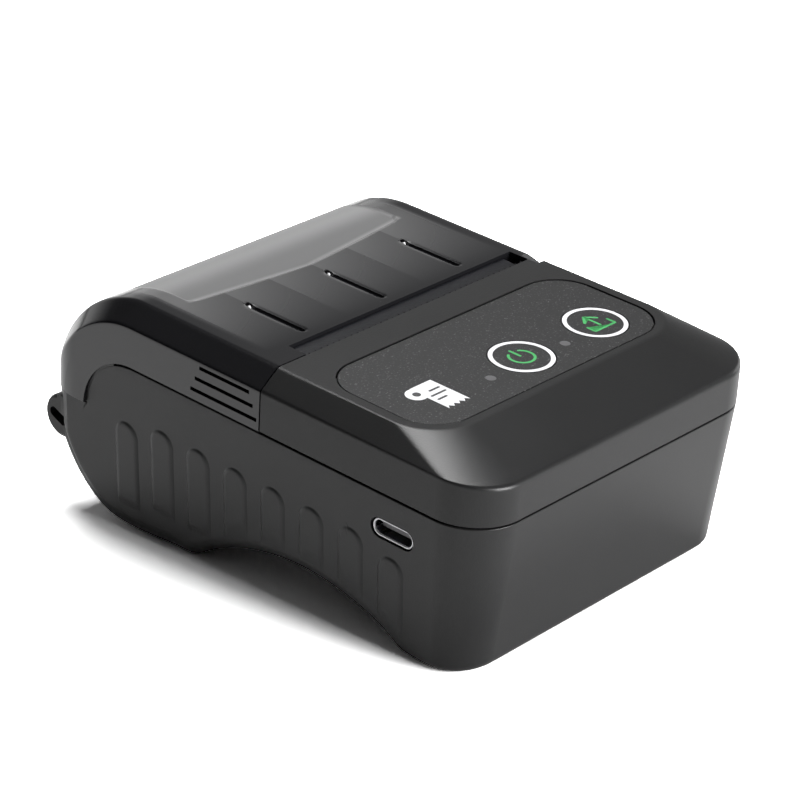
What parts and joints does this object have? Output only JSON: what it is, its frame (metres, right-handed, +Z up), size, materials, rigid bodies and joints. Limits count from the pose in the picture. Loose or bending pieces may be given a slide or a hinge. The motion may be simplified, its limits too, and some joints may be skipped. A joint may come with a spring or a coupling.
{
  "type": "portable receipt printer",
  "caption": "Pocket-size battery receipt printer with an arched underside, ribbed sides, flush round keys and a hinged smoky paper cover carrying the platen.",
  "frame": {"origin": "centre of the bounding box's footprint, on the table that the rubber feet stand on", "axes": "+X to the right seen from the front, +Y from the keys to the hinge, +Z up"},
  "size_m": [0.075, 0.1076, 0.0457],
  "materials": {
    "shell": "fine matte texture",
    "panel_film": "fine grained film",
    "key_cap": "fine grained film",
    "light_pipe": "clear, frosted",
    "cover_smoke": "smoky translucent, glossy",
    "steel": "ground",
    "rubber": "smooth ground",
    "white_plastic": "moulded",
    "frame_grey": "moulded",
    "aluminium": "milled",
    "ceramic": "glazed ceramic",
    "motor_can": "plated can",
    "brass": "turned",
    "chip_black": "moulded",
    "board_green": "solder mask",
    "can_metal": "tinned can",
    "bright_shell": "bright plated",
    "red_plastic": "moulded",
    "battery_wrap": "shrink sleeve",
    "foam": "foam",
    "screw_steel": "blackened"
  },
  "bodies": {
    "base": {"lower_case": "shell", "top_case": "shell", "control_panel": "panel_film", "light_pipes": "light_pipe", "hinge_pin": "steel", "print_frame": "frame_grey", "head_pivot": "steel", "tear_bar": "steel", "feed_motor": "motor_can", "gear_axles": "steel", "paper_sensor": "chip_black", "main_board": "board_green", "controller_chips": "chip_black", "wireless_module": "can_metal", "board_connectors": "white_plastic", "usb_shell": "bright_shell", "usb_tongue": "chip_black", "key_board": "board_green", "switch_bodies": "chip_black", "indicator_lamps": "white_plastic", "battery_pack": "battery_wrap", "battery_pads": "foam", "case_screws": "screw_steel", "frame_screws": "screw_steel", "board_screws": "screw_steel", "rubber_feet": "rubber"},
    "cover": {"paper_cover": "cover_smoke", "platen_bushes": "white_plastic"},
    "platen": {"platen_rubber": "rubber", "platen_shaft": "steel", "platen_gear": "white_plastic"},
    "idler": {"idler_gear": "white_plastic"},
    "reduction": {"reduction_gear": "white_plastic"},
    "rotor": {"motor_shaft": "steel", "motor_pinion": "brass"},
    "print_head": {"heat_sink": "aluminium", "thermal_head": "ceramic", "head_springs": "steel"},
    "power_button": {"power_key": "key_cap", "power_plunger": "red_plastic"},
    "feed_button": {"feed_key": "key_cap", "feed_plunger": "red_plastic"}
  },
  "joints": [
    {"name": "cover_hinge", "type": "hinge", "parent": "base", "child": "cover", "pos_m": [0, 0.052, 0.02474], "axis": [-1, 0, 0], "range_deg": [0, 95]},
    {"name": "platen_spin", "type": "hinge", "parent": "cover", "child": "platen", "pos_m": [0, 0.00346, 0.03644], "axis": [1, 0, 0], "continuous": true},
    {"name": "idler_spin", "type": "hinge", "parent": "base", "child": "idler", "pos_m": [0, -0.00277, 0.03042], "axis": [1, 0, 0], "continuous": true},
    {"name": "reduction_spin", "type": "hinge", "parent": "base", "child": "reduction", "pos_m": [0, -0.00893, 0.02741], "axis": [1, 0, 0], "continuous": true},
    {"name": "motor_spin", "type": "hinge", "parent": "base", "child": "rotor", "pos_m": [0, -0.0163, 0.02952], "axis": [1, 0, 0], "continuous": true},
    {"name": "head_rock", "type": "hinge", "parent": "base", "child": "print_head", "pos_m": [0, -0.00203, 0.02473], "axis": [1, 0, 0], "range_deg": [0, 1.5], "stiffness_Nm_per_rad": 0.6, "springref_deg": -4.58},
    {"name": "power_press", "type": "slide", "parent": "base", "child": "power_button", "axis": [0, 0.0706, -0.9975], "range_m": [0, 0.0004], "stiffness_N_per_m": 1500, "springref_m": -0.0008},
    {"name": "feed_press", "type": "slide", "parent": "base", "child": "feed_button", "axis": [0, 0.0706, -0.9975], "range_m": [0, 0.0004], "stiffness_N_per_m": 1500, "springref_m": -0.0008}
  ],
  "couplings": [
    {"joint": "idler_spin", "follows": "platen_spin", "ratio": -0.95455},
    {"joint": "reduction_spin", "follows": "platen_spin", "ratio": 1.75},
    {"joint": "motor_spin", "follows": "platen_spin", "ratio": -4.9}
  ]
}
